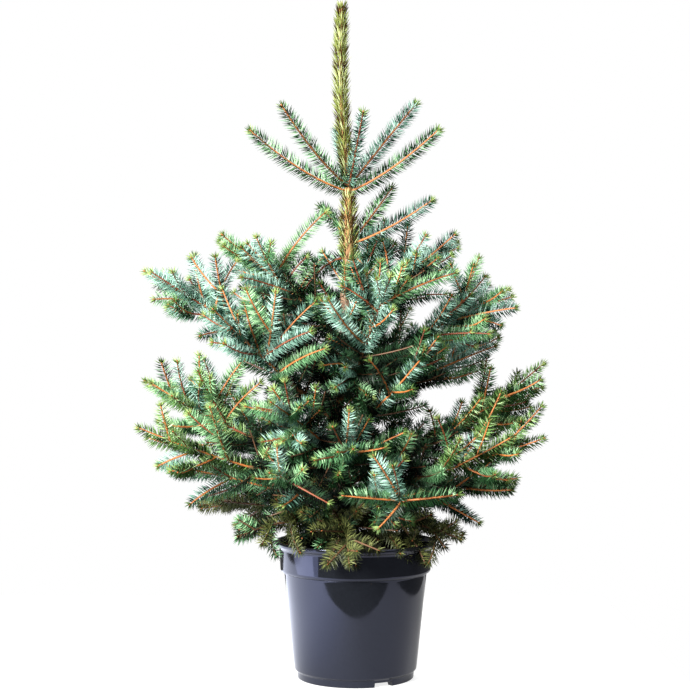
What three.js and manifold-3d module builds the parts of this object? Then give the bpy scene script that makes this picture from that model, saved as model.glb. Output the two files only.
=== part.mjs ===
// A young blue spruce, about 1.2 m to the tip of its leader, growing in a nursery container.
// Millimetres, +Z up. The origin is the centre of the container's underside, and -Y is the front.
// The trunk runs whole from the soil to the leader's tip. Boughs leave it, and each mass of needles
// is one stem with side shoots, set by a seeded rule, that keeps to its own space.

import * as THREE from "three";
import { mergeVertices } from "three/addons/utils/BufferGeometryUtils.js";
import Module from "manifold-3d";

// Container
const RIM_RADIUS = 145;
const RIM_HEIGHT = 245;
const COLLAR_RADIUS = 135;
const COLLAR_FOOT = 192;
const BODY_TOP_RADIUS = 128;
const BODY_FOOT_RADIUS = 109.6;
const FOOT_RING_RADIUS = 104.4;
const FOOT_RING_HEIGHT = 12;
const FOOT_RING_WIDTH = 12;
const UNDERSIDE_PAD_RADIUS = 50;
const POT_WALL = 2.4;
const POT_SIDES = 36;
const NOTCH_COUNT = 3;
const NOTCH_WIDTH = 35;
const NOTCH_HEIGHT = 8;
const NOTCH_TURN = -62;

// Soil
const SOIL_HEIGHT = 221.7;
const SOIL_SIDES = 24;
const SOIL_GAP = 1.3;

// Trunk, by height: where its centre lies and how thick it is
const GROUND = 222;
const TREE_TOP = 1215;
const TRUNK_SIDES = 10;
const TRUNK_STEP = 55;
const WHORL_HEIGHT = 880;
const FLARE_HEIGHT = 60;
const FLARE_RIBS = 3;
const FLARE_DEPTH = 0.14;
const FLARE_TURN = 0.6;
const TRUNK_PATH = [
  { z: 222, x: -24, y: 3, radius: 24 },
  { z: 242, x: -25, y: 3, radius: 17.5 },
  { z: 337, x: -32, y: 1, radius: 15 },
  { z: 464, x: -35, y: -2, radius: 12.8 },
  { z: 640, x: -22, y: -1, radius: 10.4 },
  { z: 758, x: -12, y: 0, radius: 8.8 },
  { z: 868, x: -12.6, y: 0, radius: 7 },
  { z: 890, x: -13, y: 0, radius: 4.6 },
  { z: 965, x: -20, y: 0, radius: 4 },
  { z: 1040, x: -26, y: 0, radius: 3.7 },
  { z: 1125, x: -27, y: 0, radius: 3.4 },
  { z: 1190, x: -25, y: 0, radius: 3.1 },
  { z: 1204, x: -24.5, y: 0, radius: 2.9 },
];

// Limbs and shoots
const GAP = 0.35;
const LIMB_SIDES = 6;
const LIMB_STEP = 45;
const YOUNG_LIMB_RADIUS = 5.5;
const OLD_LIMB_RADIUS = 8;
const TOP_BOUGH = 620;
const LOW_BOUGH = 340;
const LIMB_TAPER = 0.7;
const LIMB_STEP_DOWN = 0.6;
const RING_STEP = 38;
const TOP_RING_STEP = 29;
const NEEDLE_OUT = 16;
const NEEDLE_ALONG = 18;
const TUFT = 14;
const RING_TWIST = 0.35;
const STEM_RADIUS = 3.1;
const SHOOT_RADIUS = 2.4;
const TIP_RADIUS = 1.5;
const SPREAD = 50;
const SPREAD_PLAY = 16;
const GOLDEN_TURN = 137.5;
const ROLL_PLAY = 40;
const FLATNESS = 0.75;
const SHORTEST = 0.85;
const LENGTH_PLAY = 0.3;
const OUTER_SHORTER = 0.5;
const SHOOT_BEND_AT = 0.5;
const SHOOT_CLEARANCE = 1;
const BEND_AT = 0.45;
const BARE_PAST_LIMB = 0.06;
const BARE_FROM_TRUNK = 0.34;
const LAST_SHOOT = 0.84;
const OUTER_HALF = [0.6, 1];
const AXIS_POINTS = 24;
const INNER_POINTS = 8;
const SMALLEST_EDGE = 0.3;

// What the boughs of a tier share. limb: the part of the axis that is bare wood, or 0 where the mass
// springs from the trunk itself. shoots and side: how many side shoots a mass has, and how long the
// longest is. lift: how far they turn up, as a share of their length.
const TIERS = {
  upper: { limb: 0.4, shoots: 6, side: 114, lift: 0.2 },
  middle: { limb: 0.45, shoots: 6, side: 117, lift: 0.3 },
  lower: { limb: 0.43, shoots: 7, side: 124, lift: 0.17 },
  inner: { limb: 0, shoots: 6, side: 107, lift: 0.12 },
  skirt: { limb: 0, shoots: 7, side: 102, lift: 0 },
};

// Boughs. at: height on the trunk. turn: direction seen from above, 0 to the right and -90 to the front.
// reach and top: how far out and how high the tip is. pitch: angle above level at the trunk.
const BOUGHS = [
  { name: "upper_left", tier: "upper", at: 600, turn: 168, reach: 228, top: 786, pitch: 48 },
  { name: "upper_back", tier: "upper", at: 597, turn: 72, reach: 215, top: 800, pitch: 50 },
  { name: "upper_right", tier: "upper", at: 612, turn: 22, reach: 230, top: 786, pitch: 48 },
  { name: "left", tier: "middle", at: 512, turn: 183, reach: 345, top: 727, pitch: 34 },
  { name: "left_front", tier: "middle", at: 462, turn: 222, reach: 275, top: 655, pitch: 30 },
  { name: "left_back", tier: "middle", at: 520, turn: 124, reach: 315, top: 700, pitch: 36 },
  { name: "front", tier: "middle", at: 488, turn: -62, reach: 195, top: 712, pitch: 40 },
  { name: "right", tier: "middle", at: 492, turn: -6, reach: 306, top: 694, pitch: 42 },
  { name: "right_back", tier: "middle", at: 455, turn: 22, reach: 320, top: 622, pitch: 22 },
  { name: "back", tier: "middle", at: 430, turn: 66, reach: 340, top: 590, pitch: 24 },
  { name: "lower_left", tier: "lower", at: 372, turn: 179, reach: 346, top: 530, pitch: 16 },
  { name: "lower_left_front", tier: "lower", at: 340, turn: 196, reach: 360, top: 452, pitch: 10 },
  { name: "lower_right", tier: "lower", at: 345, turn: 6, reach: 378, top: 562, pitch: 14 },
  { name: "lower_right_front", tier: "lower", at: 318, turn: -13, reach: 368, top: 432, pitch: 14 },
  { name: "lower_back_right", tier: "lower", at: 376, turn: 18, reach: 392, top: 508, pitch: 14 },
  { name: "lower_back_left", tier: "lower", at: 345, turn: 140, reach: 355, top: 490, pitch: 14 },
  { name: "right_front", tier: "inner", at: 425, turn: -42, reach: 232, top: 608, pitch: 26 },
  { name: "front_left_middle", tier: "inner", at: 398, turn: -116, reach: 245, top: 500, pitch: 26 },
  { name: "front_middle", tier: "inner", at: 356, turn: -84, reach: 255, top: 425, pitch: 26 },
  { name: "front_right_low", tier: "inner", at: 305, turn: -66, reach: 262, top: 338, pitch: 19 },
  { name: "front_left_low", tier: "inner", at: 300, turn: -116, reach: 258, top: 384, pitch: 22 },
  { name: "left_low", tier: "inner", at: 292, turn: 188, reach: 322, top: 384, pitch: 24 },
  { name: "right_low", tier: "inner", at: 286, turn: 8, reach: 322, top: 344, pitch: 18 },
  { name: "skirt_right", tier: "skirt", at: 262, turn: -24, reach: 228, top: 258, pitch: 22 },
  { name: "skirt_front", tier: "skirt", at: 258, turn: -86, reach: 210, top: 228, pitch: 33 },
  { name: "skirt_left", tier: "skirt", at: 262, turn: 207, reach: 200, top: 262, pitch: 24 },
  { name: "skirt_back_left", tier: "skirt", at: 270, turn: 155, reach: 300, top: 300, pitch: 18 },
  { name: "skirt_back", tier: "inner", at: 282, turn: 98, reach: 318, top: 392, pitch: 24 },
  { name: "skirt_back_right", tier: "skirt", at: 268, turn: 42, reach: 300, top: 296, pitch: 18 },
].map((bough) => ({ ...bough, ...TIERS[bough.tier] }));

// Single unbranched shoots of the last two years, in whorls on the upper trunk
const TOP_SHOOTS = [
  { name: "top_left", at: 872, turn: 184, reach: 176, top: 980, pitch: 16 },
  { name: "top_left_front", at: 882, turn: 214, reach: 140, top: 1014, pitch: 29 },
  { name: "top_front", at: 876, turn: -75, reach: 98, top: 1000, pitch: 50 },
  { name: "top_right", at: 879, turn: 12, reach: 126, top: 1034, pitch: 52 },
  { name: "top_right_front", at: 871, turn: -12, reach: 164, top: 979, pitch: 20 },
  { name: "top_back", at: 877, turn: 98, reach: 150, top: 1004, pitch: 42 },
  { name: "middle_right_upper", at: 776, turn: 24, reach: 86, top: 882, pitch: 48 },
  { name: "middle_right", at: 776, turn: -8, reach: 150, top: 854, pitch: 17 },
  { name: "middle_back", at: 778, turn: 118, reach: 112, top: 852, pitch: 44 },
  { name: "middle_left", at: 752, turn: 186, reach: 84, top: 690, pitch: 10 },
];

// Needles on the trunk's own two youngest lengths
const TRUNK_NEEDLES = [
  { name: "leader_needles", from: 908, to: 1192, out: 12, along: 21 },
  { name: "upper_stem_needles", from: 814, to: 864, out: 11, along: 20 },
];
const SLEEVE_SIDES = 6;
const SLEEVE_WALL = 1.2;
const SLEEVE_KNOTS = 9;

const UP = new THREE.Vector3(0, 0, 1);
const wasm = await Module();
wasm.setup();

function radians(degrees) {
  return (degrees * Math.PI) / 180;
}

function mix(a, b, share) {
  return a + (b - a) * share;
}

// The same run of numbers from 0 to 1 for the same seed.
function seeded(seed) {
  let state = (seed * 7919 + 12345) >>> 0;
  return () => {
    state = (Math.imul(state, 1664525) + 1013904223) >>> 0;
    return state / 4294967296;
  };
}

function solidOf(points, faces) {
  const vertProperties = new Float32Array(points.flatMap((point) => point.toArray()));
  return new wasm.Manifold(new wasm.Mesh({ numProp: 3, vertProperties, triVerts: new Uint32Array(faces) }));
}

function geometryOf(solid) {
  const { vertProperties, triVerts } = solid.getMesh();
  const geometry = new THREE.BufferGeometry();
  geometry.setAttribute("position", new THREE.BufferAttribute(vertProperties, 3));
  geometry.setIndex(new THREE.BufferAttribute(triVerts, 1));
  geometry.computeVertexNormals();
  return geometry;
}

// A closed solid of stacked rings of points, each ring anticlockwise seen from the end it runs to.
// spike(ring, side) gives the point that a face between two rings is drawn out to, or nothing.
function ringSolid(rings, spike, endPoint) {
  const sides = rings[0].length;
  const points = rings.flat();
  const faces = [];
  for (let ring = 0; ring + 1 < rings.length; ring += 1) {
    for (let side = 0; side < sides; side += 1) {
      const next = (side + 1) % sides;
      const corners = [
        ring * sides + side,
        ring * sides + next,
        (ring + 1) * sides + next,
        (ring + 1) * sides + side,
      ];
      const apex = spike ? spike(ring, side, corners.map((corner) => points[corner])) : null;
      if (apex) {
        points.push(apex);
        corners.forEach((corner, k) => faces.push(corner, corners[(k + 1) % 4], points.length - 1));
      } else {
        faces.push(corners[0], corners[1], corners[2], corners[0], corners[2], corners[3]);
      }
    }
  }
  const last = (rings.length - 1) * sides;
  for (let side = 1; side + 1 < sides; side += 1) {
    faces.push(0, side + 1, side);
  }
  if (endPoint) {
    points.push(endPoint);
    for (let side = 0; side < sides; side += 1) {
      faces.push(last + side, last + ((side + 1) % sides), points.length - 1);
    }
  } else {
    for (let side = 1; side + 1 < sides; side += 1) {
      faces.push(last, last + side, last + side + 1);
    }
  }
  return solidOf(points, faces);
}

// Trunk

function trunkAt(z) {
  const above = TRUNK_PATH.findIndex((knot) => knot.z > z);
  const k = above < 0 ? TRUNK_PATH.length - 2 : Math.max(above - 1, 0);
  const low = TRUNK_PATH[k];
  const high = TRUNK_PATH[k + 1];
  const share = Math.min(Math.max((z - low.z) / (high.z - low.z), 0), 1);
  const radius = mix(low.radius, high.radius, share);
  return { centre: new THREE.Vector3(mix(low.x, high.x, share), mix(low.y, high.y, share), z), radius };
}

// The root flare has low ribs, which fade out a hand's width above the soil.
function trunkRing(z, grow) {
  const { centre, radius } = trunkAt(z);
  const flare = FLARE_DEPTH * Math.max(0, 1 - (z - GROUND) / FLARE_HEIGHT);
  return Array.from({ length: TRUNK_SIDES }, (_, side) => {
    const angle = (side / TRUNK_SIDES) * 2 * Math.PI;
    const reach = (radius + grow) * (1 + flare * Math.cos(FLARE_RIBS * angle + FLARE_TURN));
    return centre.clone().add(new THREE.Vector3(Math.cos(angle), Math.sin(angle), 0).multiplyScalar(reach));
  });
}

function trunkSolid(grow) {
  const heights = new Set(TRUNK_PATH.map((knot) => knot.z));
  for (let k = 0; k + 1 < TRUNK_PATH.length; k += 1) {
    const span = TRUNK_PATH[k + 1].z - TRUNK_PATH[k].z;
    const steps = Math.ceil(span / TRUNK_STEP / (TRUNK_PATH[k].z > WHORL_HEIGHT ? 2 : 1));
    for (let step = 1; step < steps; step += 1) {
      heights.add(TRUNK_PATH[k].z + (span * step) / steps);
    }
  }
  const rings = [...heights].sort((a, b) => a - b).map((z) => trunkRing(z, grow));
  const tip = new THREE.Vector3(trunkAt(TREE_TOP).centre.x, 0, TREE_TOP + grow);
  return ringSolid(rings, null, tip);
}

// Boughs and shoots

function boughAxis(bough) {
  const start = trunkAt(bough.at).centre;
  const way = new THREE.Vector3(Math.cos(radians(bough.turn)), Math.sin(radians(bough.turn)), 0);
  const tip = start.clone().addScaledVector(way, bough.reach).setZ(bough.top);
  const bend = start.clone().addScaledVector(way, bough.reach * BEND_AT);
  bend.z += Math.tan(radians(bough.pitch)) * bough.reach * BEND_AT;
  return new THREE.QuadraticBezierCurve3(start, bend, tip);
}

// Side shoots leave the axis round and round it, flattened towards its own plane, and turn up or droop.
function sideShoots(bough, axis, seed) {
  const random = seeded(seed);
  const first = bough.limb ? bough.limb + BARE_PAST_LIMB : BARE_FROM_TRUNK;
  return Array.from({ length: bough.shoots }, (_, k) => {
    const place = k / (bough.shoots - 1);
    const at = mix(first, LAST_SHOOT, place);
    const along = axis.getTangentAt(at);
    const level = along.clone().cross(UP).normalize();
    const lift = level.clone().cross(along);
    const roll = radians(GOLDEN_TURN * k + ROLL_PLAY * (random() - 0.5));
    const spread = radians(SPREAD + SPREAD_PLAY * (random() - 0.5));
    const length = bough.side * (1 - OUTER_SHORTER * place) * (SHORTEST + LENGTH_PLAY * random());
    const aside = level.multiplyScalar(Math.cos(roll));
    aside.addScaledVector(lift, Math.sin(roll) * FLATNESS);
    const way = along.multiplyScalar(Math.cos(spread)).addScaledVector(aside, Math.sin(spread));
    const start = axis.getPointAt(at);
    const bend = start.clone().addScaledVector(way, length * SHOOT_BEND_AT);
    const tip = start.clone().addScaledVector(way, length);
    tip.z += length * bough.lift;
    return new THREE.QuadraticBezierCurve3(start, bend, tip);
  });
}

// Rings of points along a curve from one share of its length to another, thinning as they go. Each
// ring is turned a little from the one before, so that the needles don't stand in rows.
function ringsAlong(curve, from, to, sides, step, radiusAt, twist) {
  const length = curve.getLength() * (to - from);
  const count = Math.max(2, Math.round(length / step));
  const across = new THREE.Vector3();
  const rings = [];
  for (let ring = 0; ring <= count; ring += 1) {
    const share = ring / count;
    const centre = curve.getPointAt(mix(from, to, share));
    const along = curve.getTangentAt(mix(from, to, share));
    if (ring === 0) {
      across.crossVectors(along, Math.abs(along.z) > 0.9 ? new THREE.Vector3(0, 1, 0) : UP);
    }
    across.addScaledVector(along, -across.dot(along)).normalize();
    const other = along.clone().cross(across);
    const radius = radiusAt(share);
    rings.push(
      Array.from({ length: sides }, (_, side) => {
        const angle = (side / sides) * 2 * Math.PI + ring * twist;
        return centre
          .clone()
          .addScaledVector(across, Math.cos(angle) * radius)
          .addScaledVector(other, Math.sin(angle) * radius);
      }),
    );
  }
  return rings;
}

function centreOf(points) {
  return points.reduce((sum, point) => sum.add(point), new THREE.Vector3()).divideScalar(points.length);
}

// A shoot: a slim core whose faces are drawn out into needles that lean forward, with a tuft at its
// tip. The first part of a mass's stem is bare.
function needleShoot(curve, { from = 0, sides = 3, radius = SHOOT_RADIUS, bare = 0, step = RING_STEP }) {
  const radiusAt = (share) => mix(radius, TIP_RADIUS, share);
  const rings = ringsAlong(curve, from, 1, sides, step, radiusAt, RING_TWIST);
  const needle = (ring, side, corners) => {
    if (ring < bare) {
      return null;
    }
    const foot = centreOf(corners);
    const along = centreOf(rings[ring + 1]).sub(centreOf(rings[ring])).normalize();
    const out = foot.clone().sub(centreOf([...rings[ring], ...rings[ring + 1]]));
    out.addScaledVector(along, -out.dot(along)).normalize();
    return foot.addScaledVector(out, NEEDLE_OUT).addScaledVector(along, NEEDLE_ALONG);
  };
  const tip = curve.getPointAt(1).addScaledVector(curve.getTangentAt(1), TUFT);
  return ringSolid(rings, needle, tip);
}

// Lower boughs are older and thicker. A limb thins fastest near the trunk.
function limbSolid(bough, axis) {
  const age = (TOP_BOUGH - bough.at) / (TOP_BOUGH - LOW_BOUGH);
  const thick = mix(YOUNG_LIMB_RADIUS, OLD_LIMB_RADIUS, age);
  const thin = STEM_RADIUS + LIMB_STEP_DOWN;
  const radiusAt = (share) => mix(thick, thin, share ** LIMB_TAPER);
  const rings = ringsAlong(axis, 0, bough.limb, LIMB_SIDES, LIMB_STEP, radiusAt, 0);
  return ringSolid(rings, null, null);
}

function boxesMeet(a, b, margin) {
  return [0, 1, 2].every((k) => a.min[k] < b.max[k] + margin && b.min[k] < a.max[k] + margin);
}

function isClear(solid, others, gap) {
  const box = solid.boundingBox();
  return others.every((other) => {
    return !boxesMeet(box, other.boundingBox(), gap) || solid.minGap(other, gap * 2) >= gap;
  });
}

// A shoot keeps to its mass's space: its outer half lies nearer its own bough's axis than any other's.
function keepsToSpace(curve, axes, own) {
  return OUTER_HALF.every((share) => {
    const point = curve.getPointAt(share);
    const distances = axes.map((line) => Math.min(...line.map((spot) => spot.distanceTo(point))));
    return distances.every((distance, k) => k === own || distance > distances[own]);
  });
}

// Container and soil

function solidFrom(geometry) {
  geometry.deleteAttribute("normal");
  geometry.deleteAttribute("uv");
  const merged = mergeVertices(geometry, 1e-4);
  const places = merged.getAttribute("position");
  const points = Array.from({ length: places.count }, (_, k) => {
    return new THREE.Vector3().fromBufferAttribute(places, k);
  });
  const corners = Array.from(merged.getIndex().array);
  const faces = [];
  for (let k = 0; k < corners.length; k += 3) {
    const [a, b, c] = corners.slice(k, k + 3);
    if (a !== b && b !== c && c !== a) {
      faces.push(a, b, c);
    }
  }
  return solidOf(points, faces);
}

function latheSolid(outline, sides) {
  const profile = outline.map(([radius, z]) => new THREE.Vector2(radius, z));
  return solidFrom(new THREE.LatheGeometry(profile, sides).rotateX(Math.PI / 2));
}

// The outline runs from the centre of the underside, out and up over the rim, and back down inside.
function potSolid() {
  const ringInner = FOOT_RING_RADIUS - FOOT_RING_WIDTH;
  const body = [
    [0, 0],
    [UNDERSIDE_PAD_RADIUS, 0],
    [UNDERSIDE_PAD_RADIUS + 6, FOOT_RING_HEIGHT - 2],
    [ringInner - 3, FOOT_RING_HEIGHT - 2],
    [ringInner, 0],
    [FOOT_RING_RADIUS, 0],
    [FOOT_RING_RADIUS + 0.6, FOOT_RING_HEIGHT],
    [BODY_FOOT_RADIUS, FOOT_RING_HEIGHT + 4],
    [BODY_TOP_RADIUS, COLLAR_FOOT - 2],
    [COLLAR_RADIUS, COLLAR_FOOT],
    [COLLAR_RADIUS + 2, RIM_HEIGHT - 10],
    [RIM_RADIUS, RIM_HEIGHT - 5],
    [RIM_RADIUS, RIM_HEIGHT],
    [COLLAR_RADIUS + 2 - POT_WALL, RIM_HEIGHT - 1],
    [COLLAR_RADIUS - POT_WALL, COLLAR_FOOT + 4],
    [BODY_TOP_RADIUS - POT_WALL, COLLAR_FOOT],
    [BODY_FOOT_RADIUS - POT_WALL, FOOT_RING_HEIGHT + 6],
    [UNDERSIDE_PAD_RADIUS + 9, FOOT_RING_HEIGHT - 2 + POT_WALL],
    [UNDERSIDE_PAD_RADIUS, POT_WALL],
    [0, POT_WALL],
  ];
  let pot = latheSolid(body, POT_SIDES);
  for (let notch = 0; notch < NOTCH_COUNT; notch += 1) {
    const slot = new THREE.BoxGeometry(60, NOTCH_WIDTH, NOTCH_HEIGHT * 2);
    slot.translate(FOOT_RING_RADIUS, 0, 0);
    slot.rotateZ(radians(NOTCH_TURN + (360 / NOTCH_COUNT) * notch));
    pot = pot.subtract(solidFrom(slot));
  }
  return pot;
}

// The soil fills the container, down into the dish over the underside's pad.
function soilSolid() {
  const wide = BODY_TOP_RADIUS - POT_WALL - SOIL_GAP;
  return latheSolid(
    [
      [0, POT_WALL + GAP],
      [UNDERSIDE_PAD_RADIUS - 1.2, POT_WALL + GAP],
      [UNDERSIDE_PAD_RADIUS + 8, FOOT_RING_HEIGHT - 2 + POT_WALL + GAP],
      [BODY_FOOT_RADIUS - POT_WALL - SOIL_GAP - 1, FOOT_RING_HEIGHT + 6 + GAP],
      [wide, COLLAR_FOOT - 2],
      [wide, SOIL_HEIGHT - 6],
      [wide - 8, SOIL_HEIGHT],
      [0, SOIL_HEIGHT],
    ],
    SOIL_SIDES,
  );
}

// Assembly

function finish(name, color, roughness) {
  return new THREE.MeshStandardMaterial({ name, color, roughness, metalness: 0 });
}

const MATERIALS = {
  pot: finish("dark slate plastic", 0x474d57, 0.32),
  soil: finish("bark compost", 0x3b2b20, 0.95),
  bark: finish("scaly bark", 0x8a6d5c, 0.9),
  bough: finish("young bark", 0x97653f, 0.85),
  needles: finish("blue needles", 0x7f9fa0, 0.6),
  leader: finish("leader needles", 0x8f9c6b, 0.6),
};

const spruce = new THREE.Group();
spruce.name = "potted_blue_spruce";
const placed = [];

function addPiece(name, solid, material) {
  const mesh = new THREE.Mesh(geometryOf(solid), material.clone());
  mesh.name = name;
  spruce.add(mesh);
  placed.push(solid);
}

addPiece("pot", potSolid(), MATERIALS.pot);
addPiece("soil", soilSolid(), MATERIALS.soil);
addPiece("trunk", trunkSolid(0), MATERIALS.bark);

// Whatever springs from the trunk is cut this much clear of it.
const trunkSpace = trunkSolid(GAP);

for (const { name, from, to, out, along } of TRUNK_NEEDLES) {
  const knots = Array.from({ length: SLEEVE_KNOTS }, (_, k) => mix(from, to, k / (SLEEVE_KNOTS - 1)));
  const line = new THREE.CatmullRomCurve3(knots.map((z) => trunkAt(z).centre));
  const inner = Math.cos(Math.PI / SLEEVE_SIDES);
  const radiusAt = (share) => (trunkAt(mix(from, to, share)).radius + GAP + SLEEVE_WALL) / inner;
  const rings = ringsAlong(line, 0, 1, SLEEVE_SIDES, TOP_RING_STEP, radiusAt, 0);
  const sleeve = ringSolid(rings, (ring, side, corners) => {
    const foot = centreOf(corners);
    const away = foot.clone().sub(trunkAt(foot.z).centre).setZ(0).normalize();
    return foot.addScaledVector(away, out * (side % 2 ? 1 : 0.7)).add(UP.clone().multiplyScalar(along));
  });
  addPiece(name, sleeve.subtract(trunkSpace), MATERIALS.leader);
}

for (const shoot of TOP_SHOOTS) {
  const axis = boughAxis(shoot);
  const solid = needleShoot(axis, { sides: 4, radius: STEM_RADIUS, bare: 1, step: TOP_RING_STEP });
  addPiece(`shoot_${shoot.name}`, solid.subtract(trunkSpace), MATERIALS.needles);
}

const axes = BOUGHS.map(boughAxis);
const lines = axes.map((axis) => axis.getSpacedPoints(AXIS_POINTS).slice(INNER_POINTS));

for (const [k, bough] of BOUGHS.entries()) {
  if (bough.limb) {
    const limb = limbSolid(bough, axes[k]).subtract(trunkSpace);
    addPiece(`bough_${bough.name}`, limb, MATERIALS.bough);
  }
}

const stems = BOUGHS.map((bough, k) => {
  const from = bough.limb ? bough.limb + GAP / axes[k].getLength() : 0;
  const stem = needleShoot(axes[k], { from, radius: STEM_RADIUS, bare: bough.limb ? 1 : 3 });
  return bough.limb ? stem : stem.subtract(trunkSpace);
});

for (const [k, bough] of BOUGHS.entries()) {
  const others = [...placed, ...stems.filter((stem) => stem !== stems[k])];
  let mass = stems[k];
  for (const curve of sideShoots(bough, axes[k], k + 1)) {
    const shoot = needleShoot(curve, {});
    if (keepsToSpace(curve, lines, k) && isClear(shoot, others, SHOOT_CLEARANCE)) {
      mass = mass.add(shoot);
    }
  }
  addPiece(`needles_${bough.name}`, mass.simplify(SMALLEST_EDGE), MATERIALS.needles);
}

export default spruce;
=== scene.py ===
import math

import bpy
import numpy as np
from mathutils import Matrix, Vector, noise


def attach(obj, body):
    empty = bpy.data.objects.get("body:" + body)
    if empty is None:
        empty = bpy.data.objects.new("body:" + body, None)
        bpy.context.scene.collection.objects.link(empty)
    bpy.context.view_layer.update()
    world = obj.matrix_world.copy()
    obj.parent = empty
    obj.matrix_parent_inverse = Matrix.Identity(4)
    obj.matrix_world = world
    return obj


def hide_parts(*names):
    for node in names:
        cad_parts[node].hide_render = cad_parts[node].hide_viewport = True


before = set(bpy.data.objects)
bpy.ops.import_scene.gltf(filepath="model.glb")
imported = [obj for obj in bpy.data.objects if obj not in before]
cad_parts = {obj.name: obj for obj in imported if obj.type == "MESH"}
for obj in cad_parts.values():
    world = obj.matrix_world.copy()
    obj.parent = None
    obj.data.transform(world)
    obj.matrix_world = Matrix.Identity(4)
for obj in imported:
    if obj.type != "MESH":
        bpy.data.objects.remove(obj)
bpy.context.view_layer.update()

# A young blue spruce in a nursery container, 1.2 m tall. It stands upright on its own foot, with the
# container's centre at the origin, +Z up and -Y to the front. Sizes of pieces are in millimetres, and
# turn to metres when a mesh is made.

# ----------------------------------------------------------------------
# Studio: a light table of white acrylic that glows, in an even white surround, with a strong softbox to
# the left and weaker ones to the right and behind.

MM = 0.001
TABLE_FRONT = -408
TABLE_BACK = 900
TABLE_LEFT = -1000
TABLE_RIGHT = 590
TABLE_CAST = 0.36
TABLE_SEEN = 0.8
TABLE_GLOSS = 2.3
SURROUND_LIGHT = 0.11
REFLECTOR_TURN = math.radians(35)


def linear(hex_colour):
    """An sRGB hex colour as the linear numbers that a shader takes."""
    parts = [int(hex_colour[k:k + 2], 16) / 255 for k in (1, 3, 5)]
    return [p / 12.92 if p <= 0.04045 else ((p + 0.055) / 1.055) ** 2.4 for p in parts] + [1.0]


def feed(node, inputs):
    """Fills a node's inputs. A value that is a socket is linked, and any other is set."""
    for key, value in inputs.items():
        if isinstance(value, bpy.types.NodeSocket):
            node.id_data.links.new(value, node.inputs[key])
        else:
            node.inputs[key].default_value = value


def adder(tree, prefix=""):
    """A function that adds a node to this tree, of the kind that follows the prefix."""

    def add(kind, inputs=None, **settings):
        node = tree.nodes.new(prefix + kind)
        for key, value in settings.items():
            setattr(node, key, value)
        feed(node, inputs or {})
        return node

    return add


def new_material(name):
    """An empty material with its Principled shader, and a function that adds a node to it."""
    material = bpy.data.materials.new(name)
    material.use_nodes = True
    material.node_tree.nodes.clear()
    add = adder(material.node_tree, "ShaderNode")
    shader = add("BsdfPrincipled")
    add("OutputMaterial", {"Surface": shader.outputs[0]})
    return material, shader, add


def ramp(add, value, low, low_colour, high, high_colour):
    """A colour that goes from one to the other as the value goes from low to high."""
    node = add("ValToRGB", {"Fac": value})
    first, last = node.color_ramp.elements
    first.position = low
    first.color = linear(low_colour)
    last.position = high
    last.color = linear(high_colour)
    return node.outputs["Color"]


def mesh_piece(name, points, faces, materials, shades=None, smooth=False):
    """An object at the origin from points in millimetres and faces of equal size. shades numbers
    each face's material."""
    points = np.asarray(points, dtype=np.float32) * MM
    faces = np.asarray(faces, dtype=np.int32)
    count, size = faces.shape
    mesh = bpy.data.meshes.new(name)
    mesh.vertices.add(len(points))
    mesh.vertices.foreach_set("co", points.ravel())
    mesh.loops.add(count * size)
    mesh.loops.foreach_set("vertex_index", faces.ravel())
    mesh.polygons.add(count)
    mesh.polygons.foreach_set("loop_start", np.arange(0, count * size, size, dtype=np.int32))
    for material in materials:
        mesh.materials.append(material)
    if shades is not None:
        mesh.polygons.foreach_set("material_index", np.asarray(shades, dtype=np.int32))
    mesh.polygons.foreach_set("use_smooth", np.full(count, smooth))
    mesh.update(calc_edges=True)
    mesh.validate()
    piece = bpy.data.objects.new(name, mesh)
    bpy.context.scene.collection.objects.link(piece)
    return piece


def area_light(name, place, target, width, height, power, colour):
    """A lamp with a flat face that points at the target. Sizes are in metres, and power in watts."""
    light = bpy.data.lights.new(name, "AREA")
    light.shape = "RECTANGLE"
    light.size, light.size_y = width, height
    light.energy = power
    light.color = linear(colour)[:3]
    lamp = bpy.data.objects.new(name, light)
    lamp.location = place
    lamp.rotation_euler = (Vector(target) - Vector(place)).to_track_quat("-Z", "Y").to_euler()
    lamp.visible_camera = False
    bpy.context.scene.collection.objects.link(lamp)
    return lamp


# White acrylic lit from below: matt, and as bright as its surround, so that shadows stay faint. Its
# left end is brighter and bluer, which shows as gloss only.
acrylic, shader, add = new_material("lit_white_acrylic")
seen = add("LightPath")
glow = add("MapRange", {
    "Value": seen.outputs["Is Camera Ray"], "To Min": TABLE_CAST, "To Max": TABLE_SEEN})
across_table = add("SeparateXYZ", {"Vector": add("TexCoord").outputs["Object"]})
gloss = add("MapRange", {"Value": across_table.outputs["X"], "From Min": -0.5, "From Max": 0.1,
                         "To Min": TABLE_GLOSS, "To Max": 0.0}, interpolation_type="SMOOTHSTEP")
gloss = add("Math", {0: gloss.outputs["Result"], 1: seen.outputs["Is Glossy Ray"]}, operation="MULTIPLY")
glow = add("Math", {0: glow.outputs["Result"], 1: gloss.outputs["Value"]}, operation="ADD")
tinge = add("Mix", {"Factor": gloss.outputs["Value"], "A": linear("#ffffff"), "B": linear("#e3eaff")},
            data_type="RGBA")
feed(shader, {"Base Color": linear("#a8a8a8"), "Roughness": 0.8, "Specular IOR Level": 0.0,
              "Emission Color": tinge.outputs["Result"], "Emission Strength": glow.outputs["Value"]})

table_points = [(x, y, -0.2) for x, y in ((TABLE_LEFT, TABLE_FRONT), (TABLE_RIGHT, TABLE_FRONT),
                                          (TABLE_RIGHT, TABLE_BACK), (TABLE_LEFT, TABLE_BACK))]
mesh_piece("light_table", table_points, [(0, 1, 2, 3)], [acrylic])

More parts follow.
